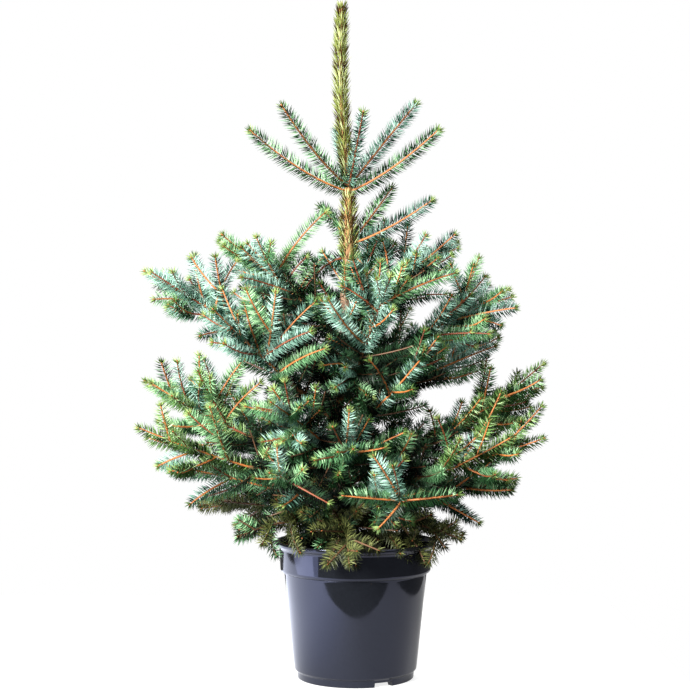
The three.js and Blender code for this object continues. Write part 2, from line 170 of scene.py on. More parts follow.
area_light("softbox_left", (-1.9, -2.3, 1.5), (0, 0, 0.55), 1.2, 1.2, 318, "#fffdf8")
area_light("softbox_right", (2.0, -1.8, 1.6), (0, 0, 0.6), 1.2, 1.2, 26, "#ffffff")
area_light("softbox_back", (0.4, 2.4, 2.4), (0, 0, 0.6), 1.2, 1.2, 60, "#ffffff")

# A flat reflector lies out to the left and shows only as gloss. One edge runs straight out from the
# container.
out = Vector((-math.cos(REFLECTOR_TURN), -math.sin(REFLECTOR_TURN), 0))
aside = Vector((out.y, -out.x, 0))
reflector = area_light("reflector_left", out * 1.32 + aside * 0.4, (0, 0, 1), 1.2, 0.8, 7.6, "#d8e0ff")
reflector.rotation_euler = (math.pi, 0, REFLECTOR_TURN)
reflector.visible_diffuse = False

# The surround is seen at full white, and lights the plant at a fraction of that.
world = bpy.data.worlds.new("white_surround")
bpy.context.scene.world = world
world.use_nodes = True
add = adder(world.node_tree, "ShaderNode")
rays = add("LightPath")
strength = add("MapRange", {
    "Value": rays.outputs["Is Camera Ray"], "To Min": SURROUND_LIGHT, "To Max": 1.0})
feed(world.node_tree.nodes["Background"],
     {"Color": linear("#ffffff"), "Strength": strength.outputs["Result"]})
bpy.context.scene.view_settings.view_transform = "Standard"

camera = bpy.data.objects.new("camera", bpy.data.cameras.new("camera"))
camera.data.lens = 81.9
camera.data.sensor_width = 36
camera.location = (-0.0189, -2.826, 0.5958)
camera.rotation_euler = (math.pi / 2, 0, 0)
bpy.context.scene.collection.objects.link(camera)
bpy.context.scene.camera = camera

# ----------------------------------------------------------------------
# Container: a 10 to 12 litre nursery container, injection-moulded in one piece of glossy dark slate
# polypropylene. Its wall flares to a stepped collar and a rolled lip, and its foot ring is cut by
# three drainage notches.

RIM_RADIUS = 145
RIM_HEIGHT = 245
COLLAR_RADIUS = 135
COLLAR_FOOT = 192
BODY_TOP_RADIUS = 128
BODY_FOOT_RADIUS = 109.6
FOOT_RING_RADIUS = 104.4
FOOT_RING_HEIGHT = 12
FOOT_RING_WIDTH = 12
UNDERSIDE_PAD_RADIUS = 50
POT_WALL = 2.4
NOTCH_TURNS = (-62, 58, 178)
NOTCH_WIDTH = 35
NOTCH_HEIGHT = 8


def rounded(outline):
    """An outline of (radius, height, corner) with each corner turned into an arc of that size."""
    line = []
    for k, (r, z, corner) in enumerate(outline):
        if corner == 0 or k in (0, len(outline) - 1):
            line.append((r, z))
            continue
        here = np.array((r, z), dtype=float)
        before = np.array(outline[k - 1][:2]) - here
        after = np.array(outline[k + 1][:2]) - here
        start = here + before / np.linalg.norm(before) * corner
        end = here + after / np.linalg.norm(after) * corner
        for t in np.linspace(0, 1, 6):
            line.append(tuple((1 - t) ** 2 * start + 2 * t * (1 - t) * here + t * t * end))
    return np.array(line)


ring_inner = FOOT_RING_RADIUS - FOOT_RING_WIDTH
pot_outline = rounded([
    (0.01, 0, 0),
    (UNDERSIDE_PAD_RADIUS, 0, 1.5),
    (UNDERSIDE_PAD_RADIUS + 6, FOOT_RING_HEIGHT - 2, 2.5),
    (ring_inner - 3, FOOT_RING_HEIGHT - 2, 2.5),
    (ring_inner, 0, 1.2),
    (FOOT_RING_RADIUS, 0, 1.8),
    (FOOT_RING_RADIUS + 0.6, FOOT_RING_HEIGHT, 1.2),
    (BODY_FOOT_RADIUS, FOOT_RING_HEIGHT + 4, 2.2),
    (BODY_TOP_RADIUS - 0.2, COLLAR_FOOT - 5, 2),
    (BODY_TOP_RADIUS + 0.4, COLLAR_FOOT - 2.5, 1),
    (COLLAR_RADIUS - 1.5, COLLAR_FOOT - 1.5, 1.2),
    (COLLAR_RADIUS, COLLAR_FOOT + 2, 1.5),
    (COLLAR_RADIUS + 1.8, RIM_HEIGHT - 12, 3),
    (RIM_RADIUS - 1, RIM_HEIGHT - 7, 2.2),
    (RIM_RADIUS, RIM_HEIGHT, 2.4),
    (COLLAR_RADIUS + 3, RIM_HEIGHT - 0.5, 2),
    (COLLAR_RADIUS + 1.8 - POT_WALL, RIM_HEIGHT - 8, 3),
    (COLLAR_RADIUS - POT_WALL, COLLAR_FOOT + 4, 1.5),
    (BODY_TOP_RADIUS - POT_WALL, COLLAR_FOOT, 1.5),
    (BODY_FOOT_RADIUS - POT_WALL, FOOT_RING_HEIGHT + 6, 2.5),
    (UNDERSIDE_PAD_RADIUS + 9, FOOT_RING_HEIGHT - 2 + POT_WALL, 2),
    (UNDERSIDE_PAD_RADIUS, POT_WALL, 1.5),
    (0.01, POT_WALL, 0),
])

notch_half = math.degrees(math.asin(NOTCH_WIDTH / 2 / FOOT_RING_RADIUS))
notch_edges = [turn + side * notch_half + step
               for turn in NOTCH_TURNS for side in (-1, 1) for step in (-0.2, 0.2)]
pot_turns = np.array(sorted({round(t % 360, 3) for t in [*np.arange(0, 360, 2.5), *notch_edges]}))
in_notch = np.zeros(len(pot_turns), dtype=bool)
for turn in NOTCH_TURNS:
    in_notch |= np.abs((pot_turns - turn + 180) % 360 - 180) < notch_half

on_ring = (pot_outline[:, 0] > ring_inner - 3) & (pot_outline[:, 0] < BODY_FOOT_RADIUS)
outside = np.arange(len(pot_outline)) < len(pot_outline) / 2
heights = np.repeat(pot_outline[None, :, 1], len(pot_turns), axis=0)
lifted = np.where(on_ring & outside, np.maximum(heights, NOTCH_HEIGHT), heights)
heights = np.where(in_notch[:, None], lifted, heights)
turns = np.radians(pot_turns)[:, None]
pot_points = np.stack([
    pot_outline[None, :, 0] * np.cos(turns),
    pot_outline[None, :, 0] * np.sin(turns),
    heights,
], axis=-1)


def grid_faces(rows, columns, closed):
    """Four-sided faces over a grid of points, with the last row joined to the first if closed."""
    low = np.arange(rows if closed else rows - 1)[:, None] * columns + np.arange(columns - 1)
    high = (low + columns) % (rows * columns)
    return np.stack([low, high, high + 1, low + 1], axis=-1).reshape(-1, 4)


# Polypropylene, moulded against polished steel: dark, deep and glossy, with faint waves where the
# wall has shrunk as it cooled, and a little dust and handling haze that dulls it in patches.
slate_plastic, shader, add = new_material("moulded_polypropylene")
place = add("TexCoord").outputs["Object"]
haze = add("TexNoise", {"Vector": place, "Scale": 22.0, "Detail": 5.0, "Roughness": 0.6})
dust = add("TexNoise", {"Vector": place, "Scale": 240.0, "Detail": 3.0})
dull = add("MapRange", {"Value": haze.outputs["Fac"], "From Min": 0.35, "From Max": 0.75,
                        "To Min": 0.05, "To Max": 0.11})
tint = ramp(add, dust.outputs["Fac"], 0.35, "#14161a", 0.75, "#191b20")
waves = add("TexNoise", {"Vector": place, "Scale": 9.0, "Detail": 1.0})
bump = add("Bump", {"Height": waves.outputs["Fac"], "Strength": 0.25, "Distance": 0.004})
feed(shader, {"Base Color": tint, "Roughness": dull.outputs["Result"], "IOR": 1.54,
              "Specular Tint": linear("#d2d8ff"), "Normal": bump.outputs["Normal"]})

container = mesh_piece(
    "container",
    pot_points.reshape(-1, 3),
    grid_faces(len(pot_turns), len(pot_outline), True),
    [slate_plastic],
    smooth=True,
)
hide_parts("pot")
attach(container, "root")

# ----------------------------------------------------------------------
# Soil: moist compost of composted bark and peat, filled to 23 mm under the lip, uneven and loose on
# top, with bark chips lying on it.

SOIL_HEIGHT = 221.7
SOIL_RADIUS = 124
SOIL_DEPTH = 30
SOIL_LUMPS = 3
SOIL_CRUMBS = 1.6
SOIL_EDGE_DROP = 5
CHIP_LENGTH = 9
CHIP_SHAPE = (0.5, 0.3, 0.12)
CHIP_SIZES = (0.45, 1.25)
CHIP_TILT = 0.5
CHIPS_PER_SQUARE_METRE = 26000.0

soil_rings = np.array([0, 0.12, 0.25, 0.38, 0.5, 0.6, 0.7, 0.78, 0.86, 0.92, 0.97, 1.0])
soil_turns = np.radians(np.arange(0, 360, 4))
soil_points = []
for ring in soil_rings:
    for turn in soil_turns:
        x, y = ring * SOIL_RADIUS * math.cos(turn), ring * SOIL_RADIUS * math.sin(turn)
        rough = noise.noise(Vector((x, y, 0)) * 0.05) * SOIL_LUMPS
        rough += noise.noise(Vector((x, y, 9)) * 0.22) * SOIL_CRUMBS
        drop = SOIL_EDGE_DROP * ring ** 8
        soil_points.append((x, y, SOIL_HEIGHT - 2.5 + rough * (1 if ring else 0) - drop))
under = [(p[0], p[1], p[2] - SOIL_DEPTH) for p in soil_points[-len(soil_turns):]]
soil_points += under + [(p[0] * 0.02, p[1] * 0.02, SOIL_HEIGHT - SOIL_DEPTH - 4) for p in under]
soil_faces = grid_faces(len(soil_turns), len(soil_rings) + 2, True)
soil_order = np.arange(len(soil_points)).reshape(len(soil_rings) + 2, len(soil_turns)).T.ravel()

# Damp compost: dark brown, crumbly and quite matt, with paler fibres.
compost, shader, add = new_material("bark_and_peat_compost")
place = add("TexCoord").outputs["Object"]
crumbs = add("TexVoronoi", {"Vector": place, "Scale": 260.0, "Randomness": 1.0})
patches = add("TexNoise", {"Vector": place, "Scale": 60.0, "Detail": 6.0})
shade = ramp(add, patches.outputs["Fac"], 0.3, "#1c130d", 0.75, "#4b3524")
bump = add("Bump", {"Height": crumbs.outputs["Distance"], "Strength": 0.8, "Distance": 0.003})
feed(shader, {"Base Color": shade, "Roughness": 0.95, "Normal": bump.outputs["Normal"]})

# Composted bark chips: flat broken flakes, from grey brown to red brown.
chip_bark, shader, add = new_material("composted_bark_chip")
place = add("TexCoord").outputs["Object"]
fibres = add("TexNoise", {"Vector": place, "Scale": 120.0, "Detail": 4.0})
shade = ramp(add, fibres.outputs["Fac"], 0.3, "#2c1c12", 0.72, "#6e4f37")
feed(shader, {"Base Color": shade, "Roughness": 0.9})


def scatter_tree(name, material):
    """Geometry Nodes that lay small flat chips over the upward faces of a mesh."""
    tree = bpy.data.node_groups.new(name, "GeometryNodeTree")
    for side, kind, label in (("INPUT", "NodeSocketGeometry", "Ground"),
                              ("INPUT", "NodeSocketFloat", "Chips per square metre"),
                              ("INPUT", "NodeSocketFloat", "Chip length"),
                              ("OUTPUT", "NodeSocketGeometry", "Chips")):
        tree.interface.new_socket(label, in_out=side, socket_type=kind)
    add = adder(tree)
    given = add("NodeGroupInput")
    normal = add("GeometryNodeInputNormal")
    height = add("ShaderNodeSeparateXYZ", {0: normal.outputs[0]})
    upward = add("FunctionNodeCompare", {0: height.outputs[2], 1: 0.6}, operation="GREATER_THAN")
    spots = add("GeometryNodeDistributePointsOnFaces", {
        "Mesh": given.outputs[0], "Selection": upward.outputs[0],
        "Density": given.outputs[1], "Seed": 4})
    turn = add("FunctionNodeRandomValue", {
        0: (-CHIP_TILT, -CHIP_TILT, 0.0), 1: (CHIP_TILT, CHIP_TILT, 6.28), "Seed": 7},
               data_type="FLOAT_VECTOR")
    size = add("FunctionNodeRandomValue", {2: CHIP_SIZES[0], 3: CHIP_SIZES[1], "Seed": 9},
               data_type="FLOAT")
    length = add("ShaderNodeMath", {0: size.outputs[1], 1: given.outputs[2]}, operation="MULTIPLY")
    chip = add("GeometryNodeMeshIcoSphere", {"Radius": 1.0, "Subdivisions": 1})
    flat = add("GeometryNodeTransform", {"Geometry": chip.outputs[0], "Scale": CHIP_SHAPE})
    laid = add("GeometryNodeInstanceOnPoints", {
        "Points": spots.outputs[0], "Instance": flat.outputs[0],
        "Rotation": turn.outputs[0], "Scale": length.outputs[0]})
    real = add("GeometryNodeRealizeInstances", {0: laid.outputs[0]})
    coated = add("GeometryNodeSetMaterial", {0: real.outputs[0], "Material": material})
    add("NodeGroupOutput", {0: coated.outputs[0]})
    return tree


soil = mesh_piece("soil_surface", soil_points, soil_order[soil_faces], [compost], smooth=True)
scatter = soil.modifiers.new("chips", "NODES")
scatter.node_group = scatter_tree("lay_chips", chip_bark)
inputs = {item.name: item.identifier for item in scatter.node_group.interface.items_tree}
scatter[inputs["Chips per square metre"]] = CHIPS_PER_SQUARE_METRE
scatter[inputs["Chip length"]] = CHIP_LENGTH * MM
bpy.context.view_layer.update()
evaluated = soil.evaluated_get(bpy.context.evaluated_depsgraph_get())
chips = bpy.data.objects.new("bark_chips", bpy.data.meshes.new_from_object(evaluated))
bpy.context.scene.collection.objects.link(chips)
soil.modifiers.clear()
for piece in (soil, chips):
    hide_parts("soil")
    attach(piece, "root")

# ----------------------------------------------------------------------
# Trunk: one stem of living wood, rooted in the soil and whole up to the leader's tip. Thin grey-brown
# bark breaks into small scales on the old wood and is smooth and tan near the top.

GROUND = 222
TRUNK_PATH = np.array([
    # height, x, y, radius
    (222, -24, 3, 24),
    (242, -25, 3, 17.5),
    (337, -32, 1, 15),
    (464, -35, -2, 12.8),
    (640, -22, -1, 10.4),
    (758, -12, 0, 8.8),
    (868, -12.6, 0, 7),
    (890, -13, 0, 4.6),
    (965, -20, 0, 4),
    (1040, -26, 0, 3.7),
    (1125, -27, 0, 3.4),
    (1190, -25, 0, 3.1),
    (1204, -24.5, 0, 2.9),
])
TRUNK_SIDES = 48
TRUNK_STEP = 3
WHORL_HEIGHTS = (345, 505, 606, 777, 877)
WHORL_SWELLING = 1.1
WHORL_HALF_HEIGHT = 9
FLARE_HEIGHT = 60
FLARE_SHARE = 0.14
BARK_RELIEF = 0.9
SMOOTH_BARK_HEIGHT = 820
BARK_ROUGHENS_OVER = 500


def trunk_at(z):
    """The trunk's centre and radius at each height."""
    x, y, radius = (np.interp(z, TRUNK_PATH[:, 0], TRUNK_PATH[:, k]) for k in (1, 2, 3))
    return np.stack([x, y, np.asarray(z, dtype=float)], axis=-1), radius


def flaky(point, scale):
    """Bark that stands in small scales with cracks between them, from -1 to 1."""
    distances, spots = noise.voronoi(Vector((point[0], point[1], point[2] * 0.45)) * scale)
    crack = min(1.0, (distances[1] - distances[0]) * 5)
    return crack - 0.6 + 0.4 * noise.noise(Vector(point) * scale * 2.3)


trunk_heights = np.concatenate([np.arange(GROUND, 1206, TRUNK_STEP), [1209, 1212, 1214]])
centres, radii = trunk_at(trunk_heights)
smooth_radii = np.convolve(np.pad(radii, 4, mode="edge"), np.ones(9) / 9, mode="valid")
smooth_radii[:6] = radii[:6]
for whorl in WHORL_HEIGHTS:
    smooth_radii += WHORL_SWELLING * np.exp(-((trunk_heights - whorl) / WHORL_HALF_HEIGHT) ** 2)
smooth_radii[-3:] = (2.7, 1.7, 0.7)
angles = np.arange(TRUNK_SIDES) / TRUNK_SIDES * 2 * math.pi
trunk_points = []
for z, centre, radius in zip(trunk_heights, centres, smooth_radii):
    flare = max(0.0, 1 - (z - GROUND) / FLARE_HEIGHT)
    age = min(1.0, max(0.15, (SMOOTH_BARK_HEIGHT - z) / BARK_ROUGHENS_OVER))
    for angle in angles:
        away = np.array((math.cos(angle), math.sin(angle), 0))
        reach = radius * (1 + FLARE_SHARE * flare * math.cos(3 * angle + 0.6))
        relief = flaky(centre + reach * away, 0.16) * BARK_RELIEF * age
        trunk_points.append(centre + (reach + relief) * away)
tip = len(trunk_points)
trunk_points += [tuple(centres[-1] + (0, 0, 1)), tuple(centres[0])]
rings = np.arange(tip).reshape(len(trunk_heights), TRUNK_SIDES)
around = np.roll(rings, -1, axis=1)
trunk_quads = np.stack([rings[:-1], around[:-1], around[1:], rings[1:]], axis=-1).reshape(-1, 4)
trunk_ends = [(rings[-1][k], around[-1][k], tip) for k in range(TRUNK_SIDES)]
trunk_ends += [(around[0][k], rings[0][k], tip + 1) for k in range(TRUNK_SIDES)]

# Spruce bark: thin grey-brown scales over pinkish inner bark, smooth tan skin on the youngest wood.
bark, shader, add = new_material("scaly_spruce_bark")
place = add("TexCoord").outputs["Object"]
height = add("SeparateXYZ", {"Vector": place}).outputs["Z"]
stretched = add("Mapping", {"Vector": place, "Scale": (1.0, 1.0, 0.45)})
scales = add("TexVoronoi", {"Vector": stretched.outputs[0], "Scale": 170.0})
blotch = add("TexNoise", {"Vector": stretched.outputs[0], "Scale": 70.0, "Detail": 6.0, "Roughness": 0.65})
old = ramp(add, blotch.outputs["Fac"], 0.32, "#5b463b", 0.7, "#b39484")
young = ramp(add, blotch.outputs["Fac"], 0.3, "#85592f", 0.7, "#b98f5c")
youth = add("MapRange", {"Value": height, "From Min": 0.62, "From Max": 0.82, "To Min": 0.0, "To Max": 1.0})
colour = add("Mix", {"Factor": youth.outputs["Result"], "A": old, "B": young}, data_type="RGBA")
bump = add("Bump", {"Height": scales.outputs["Distance"], "Strength": 0.6, "Distance": 0.0015})
feed(shader, {"Base Color": colour.outputs["Result"], "Roughness": 0.85, "Normal": bump.outputs["Normal"]})

trunk_mesh = bpy.data.meshes.new("trunk_bark")
trunk_mesh.from_pydata([tuple(np.asarray(p) * MM) for p in trunk_points], [],
                       [*map(tuple, trunk_quads), *trunk_ends])
trunk_mesh.materials.append(bark)
trunk_mesh.polygons.foreach_set("use_smooth", np.full(len(trunk_mesh.polygons), True))
trunk_mesh.update()
trunk = bpy.data.objects.new("trunk_bark", trunk_mesh)
bpy.context.scene.collection.objects.link(trunk)
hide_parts("trunk")
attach(trunk, "root")

# ----------------------------------------------------------------------
# Boughs: each is one limb that rises from the trunk and thins outwards, with red-brown ridged bark
# and a swollen collar where it joins the trunk. The lower ones are the oldest and thickest.

TIERS = {
    "upper": {"limb": 0.4, "shoots": 6, "side": 114, "lift": 0.2},
    "middle": {"limb": 0.45, "shoots": 6, "side": 117, "lift": 0.3},
    "lower": {"limb": 0.43, "shoots": 7, "side": 124, "lift": 0.17},
    "inner": {"limb": 0, "shoots": 6, "side": 107, "lift": 0.12},
    "skirt": {"limb": 0, "shoots": 7, "side": 102, "lift": 0},
}
BOUGHS = [
    # name, tier, height on the trunk, direction, reach, height of the tip, pitch at the trunk
    ("upper_left", "upper", 600, 168, 228, 786, 48),
    ("upper_back", "upper", 597, 72, 215, 800, 50),
    ("upper_right", "upper", 612, 22, 230, 786, 48),
    ("left", "middle", 512, 183, 345, 727, 34),
    ("left_front", "middle", 462, 222, 275, 655, 30),
    ("left_back", "middle", 520, 124, 315, 700, 36),
    ("front", "middle", 488, -62, 195, 712, 40),
    ("right", "middle", 492, -6, 306, 694, 42),
    ("right_back", "middle", 455, 22, 320, 622, 22),
    ("back", "middle", 430, 66, 340, 590, 24),
    ("lower_left", "lower", 372, 179, 346, 530, 16),
    ("lower_left_front", "lower", 340, 196, 360, 452, 10),
    ("lower_right", "lower", 345, 6, 378, 562, 14),
    ("lower_right_front", "lower", 318, -13, 368, 432, 14),
    ("lower_back_right", "lower", 376, 18, 392, 508, 14),
    ("lower_back_left", "lower", 345, 140, 355, 490, 14),
    ("right_front", "inner", 425, -42, 232, 608, 26),
    ("front_left_middle", "inner", 398, -116, 245, 500, 26),
    ("front_middle", "inner", 356, -84, 255, 425, 26),
    ("front_right_low", "inner", 305, -66, 262, 338, 19),
    ("front_left_low", "inner", 300, -116, 258, 384, 22),
    ("left_low", "inner", 292, 188, 322, 384, 24),
    ("right_low", "inner", 286, 8, 322, 344, 18),
    ("skirt_right", "skirt", 262, -24, 228, 258, 22),
    ("skirt_front", "skirt", 258, -86, 210, 228, 33),
    ("skirt_left", "skirt", 262, 207, 200, 262, 24),
    ("skirt_back_left", "skirt", 270, 155, 300, 300, 18),
    ("skirt_back", "inner", 282, 98, 318, 392, 24),
    ("skirt_back_right", "skirt", 268, 42, 300, 296, 18),
]
BEND_AT = 0.45
STEM_RADIUS = 3.1
LIMB_RADIUS = 5.5
OLD_LIMB_THICKER = 2.5
YOUNG_LIMB_HEIGHT = 620
OLD_LIMB_HEIGHT = 340
COLLAR_SWELLING = 2.5
COLLAR_LENGTH = 12
LIMB_RELIEF = 0.4
UP = np.array((0.0, 0.0, 1.0))
LIMB_SIDES = 14


class Curve:
    """A line through many points, measured by the share of its length."""

    def __init__(self, points):
        self.points = points
        slopes = np.gradient(points, axis=0)
        self.slopes = slopes / np.linalg.norm(slopes, axis=1, keepdims=True)
        steps = np.linalg.norm(np.diff(points, axis=0), axis=1)
        self.lengths = np.concatenate([[0], np.cumsum(steps)])
        self.length = self.lengths[-1]
        self.shares = self.lengths / self.length

    def at(self, share):
        """Places and directions at these shares of the length."""
        places = np.stack([np.interp(share, self.shares, self.points[:, k]) for k in range(3)], axis=-1)
        ways = np.stack([np.interp(share, self.shares, self.slopes[:, k]) for k in range(3)], axis=-1)
        return places, ways / np.linalg.norm(ways, axis=-1, keepdims=True)


def bent(start, bend, tip):
    """The curve that sets out from start towards bend, and turns to reach the tip."""
    t = np.linspace(0, 1, 61)[:, None]
    return Curve((1 - t) ** 2 * start + 2 * t * (1 - t) * bend + t * t * tip)


def bough_axis(at, turn, reach, top, pitch):
    """A bough's curve from the trunk at this height to its tip."""
    start = trunk_at(at)[0]
    way = np.array((math.cos(math.radians(turn)), math.sin(math.radians(turn)), 0))
    tip = start + way * reach
    tip[2] = top
    bend = start + way * reach * BEND_AT + UP * math.tan(math.radians(pitch)) * reach * BEND_AT
    return bent(start, bend, tip)


def across(ways):
    """Two directions square to each direction, the second one as near up as it can be."""
    level = np.cross(ways, UP)
    level[np.linalg.norm(level, axis=-1) < 0.05] = (1.0, 0.0, 0.0)
    level /= np.linalg.norm(level, axis=-1, keepdims=True)
    return level, np.cross(level, ways)


def tube(curve, first, last, radius_at, sides, step):
    """Points, four-sided faces and ring centres of an open tube along part of a curve."""
    count = max(3, int(curve.length * (last - first) / step) + 1)
    shares = np.linspace(0, 1, count)
    places, ways = curve.at(first + (last - first) * shares)
    level, lift = across(ways)
    radii = radius_at(shares)
    angles = np.arange(sides) / sides * 2 * math.pi
    rims = np.cos(angles)[None, :, None] * level[:, None] + np.sin(angles)[None, :, None] * lift[:, None]
    points = places[:, None] + rims * radii[:, None, None]
    rings = np.arange(count * sides).reshape(count, sides)
    around = np.roll(rings, -1, axis=1)
    faces = np.stack([rings[:-1], rings[1:], around[1:], around[:-1]], axis=-1).reshape(-1, 4)
    return points.reshape(-1, 3), faces, places


def joined(parts):
    """Points and faces of many parts as those of one mesh."""
    starts = np.cumsum([0] + [len(points) for points, *_ in parts])
    return (np.concatenate([points for points, *_ in parts]),
            np.concatenate([faces + start for (_, faces, *_), start in zip(parts, starts)]))


axes = [bough_axis(*bough[2:]) for bough in BOUGHS]
limbs = []
for (name, tier, at, *_), axis in zip(BOUGHS, axes):
    limb = TIERS[tier]["limb"]
    if not limb:
        continue
    age = (YOUNG_LIMB_HEIGHT - at) / (YOUNG_LIMB_HEIGHT - OLD_LIMB_HEIGHT)
    thick = LIMB_RADIUS + OLD_LIMB_THICKER * age
    length = axis.length * limb
    points, faces, places = tube(
        axis, 0, limb + 0.02,
        lambda s: (thick + (STEM_RADIUS + 0.3 - thick) * s ** 0.7
                   + COLLAR_SWELLING * np.exp(-s * length / COLLAR_LENGTH)),
        LIMB_SIDES, 3)
    centre = np.repeat(places, LIMB_SIDES, axis=0)
    away = (points - centre) / np.linalg.norm(points - centre, axis=1, keepdims=True)
    relief = np.array([flaky(p, 0.3) for p in points])
    limbs.append((points + away * (relief * LIMB_RELIEF)[:, None], faces))

# Young spruce bark: red brown and finely ridged, paler where the ridges are worn.
young_bark, shader, add = new_material("ridged_young_bark")
place = add("TexCoord").outputs["Object"]
streaks = add("TexNoise", {"Vector": place, "Scale": 150.0, "Detail": 5.0, "Roughness": 0.6})
shade = ramp(add, streaks.outputs["Fac"], 0.32, "#4a2f1f", 0.72, "#a5713f")
bump = add("Bump", {"Height": streaks.outputs["Fac"], "Strength": 0.5, "Distance": 0.001})
feed(shader, {"Base Color": shade, "Roughness": 0.8, "Normal": bump.outputs["Normal"]})

boughs = mesh_piece("boughs", *joined(limbs), [young_bark], smooth=True)
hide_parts(*[f"bough_{name}" for name, tier, *_ in BOUGHS if TIERS[tier]["limb"]])
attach(boughs, "root")

# ----------------------------------------------------------------------
# Twigs: the wood inside each mass of needles. Side shoots leave a bough's axis round and round it,
# with a whorl where each year's growth starts, and fork in turn. Short shaded shoots fill in along the
# bare wood. The skin is orange brown in the light and dull brown in the shade.

SPREAD = 50
SPREAD_PLAY = 16
GOLDEN_TURN = 137.5
ROLL_PLAY = 40
FLATNESS = 0.75
SHORTEST = 0.85
LENGTH_PLAY = 0.3
OUTER_SHORTER = 0.5
BARE_PAST_LIMB = 0.06
BARE_FROM_TRUNK = 0.34
LAST_SHOOT = 0.84
FINER_SHORTEST = 0.8
FINER_PLAY = 0.35
SHORTENED = 0.8
WHORL_SPREAD = 46
FORK_SPREAD = 44
SHADED_SPREAD = 60
SHADED_ON_A_LIMB = 14
SHADED_ON_A_STEM = 7
STEM_BARE_TO = 0.2
STEM_SHADED_TO = 0.4
FULL_LIGHT = 240
IN_SHADE = 0.4
IN_LIGHT = 0.7
# x beyond which low sprays take a deeper tone: painted shade
SHADED_SIDE_FROM = 40
NEEDLE_LENGTH = 20.5
NEEDLES_PER_MM = 1.5
TRUNK_SHOOTS = 42
TRUNK_SHOOTS_IN_SHADE = 30
TRUNK_SHOOTS_FROM = 262
TRUNK_SHOOTS_APART = 11.5
PLACED_SHOOTS = {
    # share of the axis where the shoot starts, and its tip's way from there: right, back and up
    "upper_left": ((0.58, 94, -10, 120), (0.5, 40, -10, 52), (0.62, -83, -20, 70), (0.51, -72, -40, 65),
                   (0.44, -85, -60, 25), (0.4, 50, -10, 72)),
    "upper_right": ((0.45, 62, -40, 90), (0.72, 58, -20, 50), (0.35, 45, -60, 15),
                    (0.44, -12, 0, 85), (0.3, 130, 0, 14)),
    "left": ((0.65, 42, -20, 90), (0.69, -20, -10, 92), (0.7, -90, -30, 60), (0.5, -70, -60, -10),
             (0.75, -68, -20, 2)),
    "right": ((0.62, 80, -30, 88), (0.66, 44, -10, 68), (0.73, 92, -20, 32), (0.67, 115, -50, 23),
              (0.53, 112, -50, 5), (0.72, 75, -30, -16), (0.5, 55, 10, 66)),
    "right_back": ((0.58, 115, -20, 48), (0.45, 68, -30, 13)),
    "right_front": ((0.54, 76, -30, 86), (0.51, -35, -50, 60)),
    "front": ((0.6, -6, -10, 100), (0.65, -38, 10, 100), (0.46, 37, -50, 58), (0.56, -88, -20, 56),
              (0.3, -15, -72, 8), (0.4, -50, -42, 34), (0.24, -26, -60, -14), (0.35, -58, -48, 0),
              (0.2, 40, -52, -25), (0.75, -60, -16, 44), (0.8, 130, 20, 56)),
    "left_front": ((0.6, 82, -50, 46), (0.58, 86, -30, 100), (0.47, 80, -60, 42), (0.62, -26, -30, 88),
                   (0.66, -72, -20, 15)),
    "lower_left": ((0.65, 63, -20, 105), (0.58, 68, -20, 75), (0.65, -18, -20, 112), (0.7, 2, -40, 50),
                   (0.78, -58, -20, 38), (0.6, 40, -10, 100), (0.76, -20, -20, 80)),
    "lower_left_front": ((0.39, 52, -50, 92), (0.65, -60, -20, 22), (0.7, -68, -10, -26)),
    "left_low": ((0.61, -50, -20, 35), (0.61, -72, -20, -44)),
    "front_left_low": ((0.86, -5, -30, 54), (0.78, 70, -30, -36)),
    "front_middle": ((0.56, 6, -44, 78), (0.35, 106, -40, 54), (0.6, -50, -40, -6)),
    "front_right_low": ((0.97, -45, -20, 74), (0.97, -94, -20, 10), (0.96, -13, -38, 58),
                        (0.97, 94, -20, 12), (0.98, -38, -20, -42)),
    "lower_right_front": ((0.58, 76, -20, 132), (0.55, -24, -30, 90), (0.57, 94, -50, 56),
                          (0.18, 62, -60, 102), (0.75, 85, -20, 88)),
    "lower_right": ((0.76, 74, -20, 22), (0.5, 25, -10, 58), (0.44, -10, -10, 56)),
    "lower_back_right": ((0.66, 26, -20, 118),),
    "skirt_front": ((0.5, -33, -62, -56),),
    "skirt_left": ((0.5, 19, -84, -42), (0.7, 14, -58, -44)),
    "skirt_right": ((0.3, 41, -97, -42), (0.5, 42, -54, -64), (0.8, -15, -40, -52),
                    (0.62, -6, -66, -20)),
}
OPENINGS = (
    # x, z and radius of the places where the crown is open from front to back
    (-40, 806, 24), (-60, 838, 22), (147, 806, 26), (20, 756, 22), (-46, 713, 18), (138, 502, 12),
    (-150, 212, 26), (141, 202, 24), (214, 302, 14), (-282, 348, 26), (-196, 824, 16), (-324, 788, 34),
    (244, 746, 16), (-194, 528, 14), (300, 572, 22),
)
# share of the axis, share of the bough's length, rolls round the axis
WHORLS = ((0.7, 0.29, (-5, 185, 95)), (0.5, 0.33, (25, 155, 270)))
FORK_AT = 0.44
FORK_SHARE = 0.58
FORKED_FROM = 92
SHORT_OF_TIP = 8
TWIG_SIDES = 5
TWIG_STEP = 12
TWIG_RADIUS = 2.15
TWIG_TIP_RADIUS = 1.3


def seeded(seed):
    """The same run of numbers from 0 to 1 for the same seed."""
    state = (seed * 7919 + 12345) % 2 ** 32

    def draw():
        nonlocal state
        state = (state * 1664525 + 1013904223) % 2 ** 32
        return state / 2 ** 32

    return draw


def side_curve(parent, share, roll, spread, length, lift):
    """A shoot that leaves its parent at this roll round it, and turns up or droops."""
    place, along = parent.at(share)
    level, up = across(along)
    aside = level * math.cos(math.radians(roll)) + up * math.sin(math.radians(roll)) * FLATNESS
    way = along * math.cos(math.radians(spread)) + aside * math.sin(math.radians(spread))
    bend = place + way * length * 0.5
    return bent(place, bend, place + way * length + UP * length * lift)


axis_spots = [axis.at(np.linspace(1 / 3, 1, 17))[0] for axis in axes]


